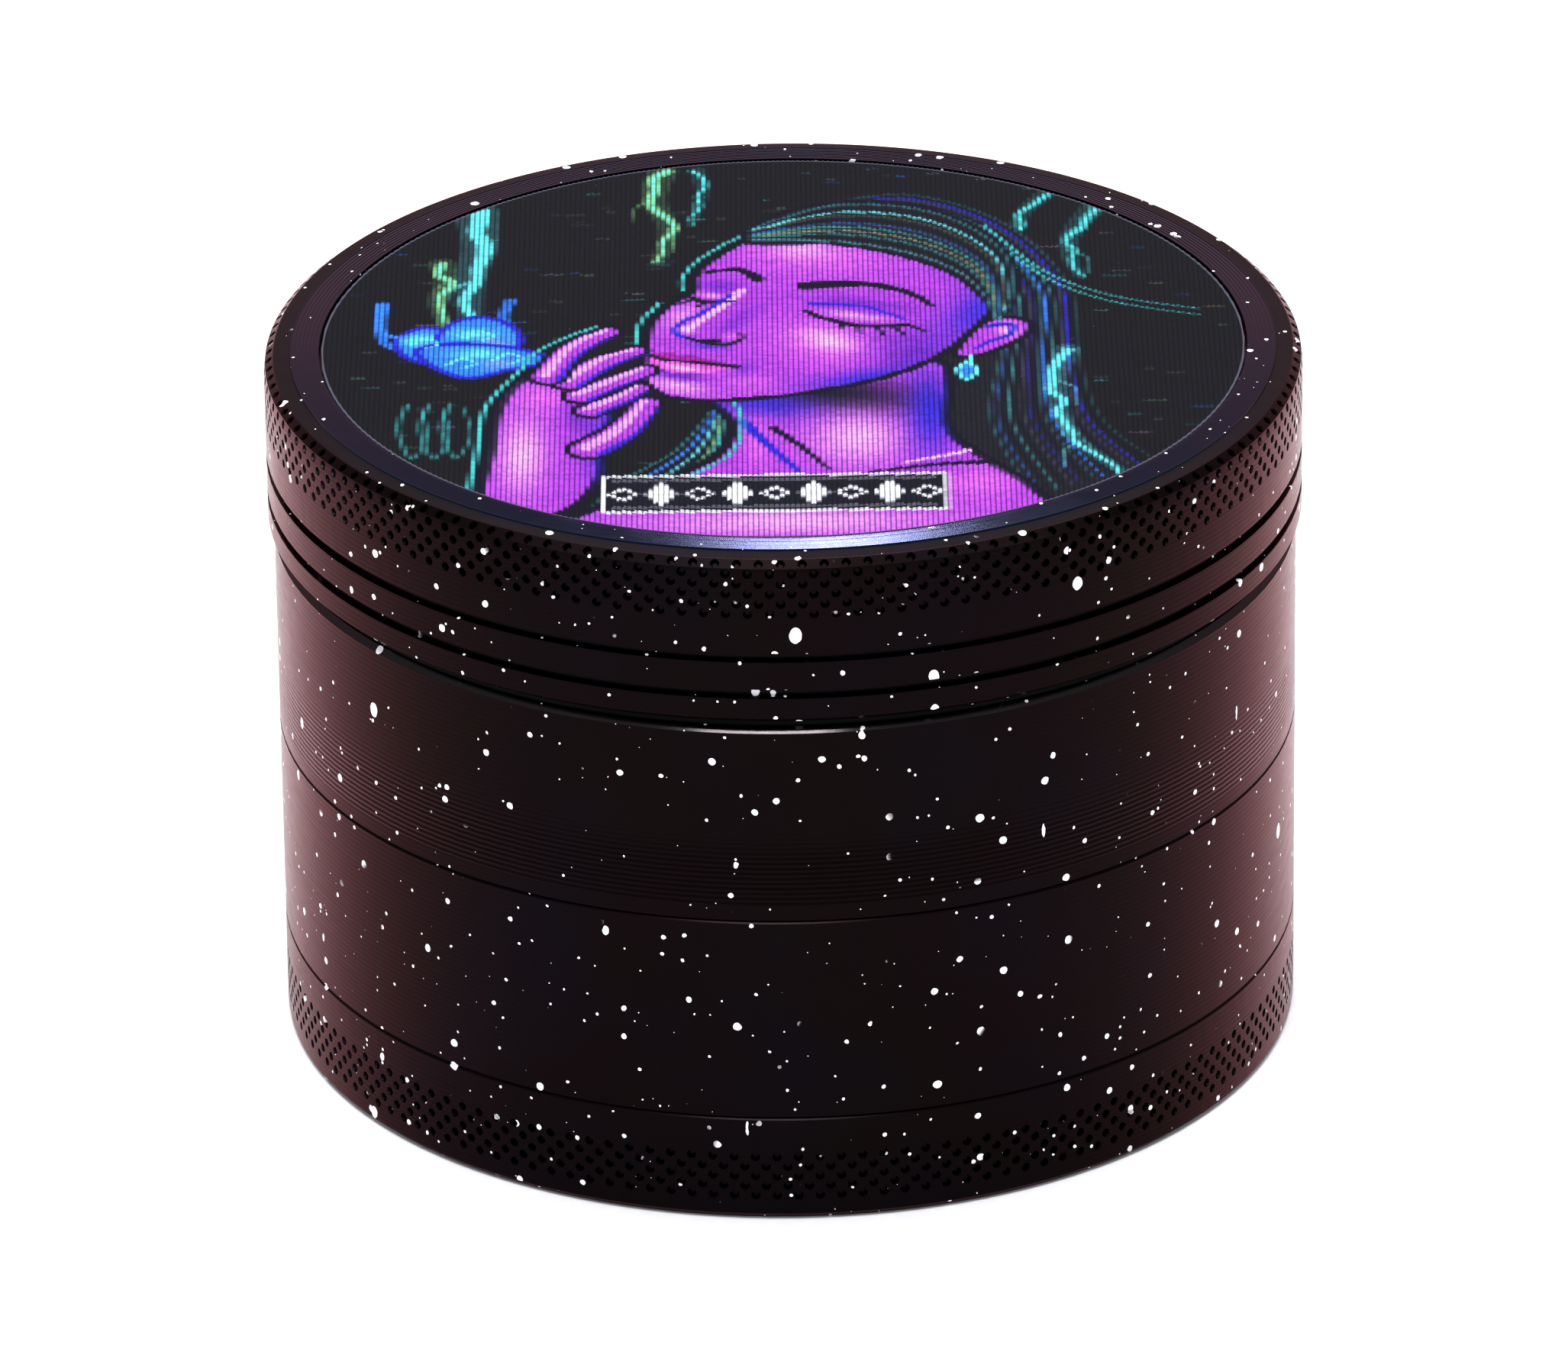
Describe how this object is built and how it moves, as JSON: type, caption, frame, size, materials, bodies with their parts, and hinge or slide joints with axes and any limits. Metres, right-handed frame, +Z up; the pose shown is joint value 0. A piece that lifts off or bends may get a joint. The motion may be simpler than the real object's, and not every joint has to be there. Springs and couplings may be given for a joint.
{
  "type": "hand grinder",
  "caption": "Round stacked hand grinder for dried herbs: dimpled dark metal lid with a ribbed picture disc, toothed grinding chamber, sieve, storage chamber and base tray.",
  "frame": {"origin": "centre of the base tray's underside, on the surface that the grinder stands on", "axes": "+Z up along the axis that every chamber turns about; -Y faces the viewer who sees the picture upright, +X to that viewer's right"},
  "size_m": [0.063, 0.063, 0.0437],
  "materials": {
    "coated_metal": "satin black coating with white flecks",
    "scraper_plastic": "fine moulded matt",
    "spring_steel": "bright rolled steel",
    "woven_wire": "plain-woven stainless wire",
    "nickel_plate": "bright nickel plate",
    "nylon": "smooth black nylon",
    "adhesive_film": "clear double-sided film",
    "printed_card": "printed coated card",
    "ribbed_lens": "glossy ribbed sheet over a printed picture"
  },
  "bodies": {
    "base_tray": {"base_tray": "coated_metal"},
    "scraper": {"pollen_scraper": "scraper_plastic"},
    "sieve_rim": {"sieve_rim": "spring_steel"},
    "storage_chamber": {"storage_chamber": "coated_metal", "sieve_mesh": "woven_wire", "sieve_snap_ring": "spring_steel"},
    "chamber_magnet": {"chamber_magnet": "nickel_plate"},
    "grinding_chamber": {"grinding_chamber": "coated_metal"},
    "friction_ring": {"friction_ring": "nylon"},
    "lid": {"lid_shell": "coated_metal", "lid_magnet": "nickel_plate", "disc_adhesive": "adhesive_film", "picture_card": "printed_card", "lens_sheet": "ribbed_lens"}
  },
  "joints": [
    {"name": "scraper_sweep", "type": "hinge", "parent": "base_tray", "child": "scraper", "pos_m": [0, 0, 0.0022], "axis": [0, 0, 1], "continuous": true},
    {"name": "storage_rise", "type": "slide", "parent": "base_tray", "child": "sieve_rim", "axis": [0, 0, 1], "range_m": [0, 0.006]},
    {"name": "storage_unscrew", "type": "hinge", "parent": "sieve_rim", "child": "storage_chamber", "pos_m": [0, 0, 0.0068], "axis": [0, 0, 1], "range_deg": [0, 1440]},
    {"name": "grinding_rise", "type": "slide", "parent": "storage_chamber", "child": "chamber_magnet", "axis": [0, 0, 1], "range_m": [0, 0.006]},
    {"name": "grinding_unscrew", "type": "hinge", "parent": "chamber_magnet", "child": "grinding_chamber", "pos_m": [0, 0, 0.0199], "axis": [0, 0, 1], "range_deg": [0, 1440]},
    {"name": "lid_lift", "type": "slide", "parent": "grinding_chamber", "child": "friction_ring", "axis": [0, 0, 1], "range_m": [0, 0.03]},
    {"name": "lid_spin", "type": "hinge", "parent": "friction_ring", "child": "lid", "pos_m": [0, 0, 0.0332], "axis": [0, 0, 1], "continuous": true}
  ],
  "couplings": [
    {"joint": "storage_rise", "follows": "storage_unscrew", "m_per_rad": 0.00023873},
    {"joint": "grinding_rise", "follows": "grinding_unscrew", "m_per_rad": 0.00023873}
  ]
}
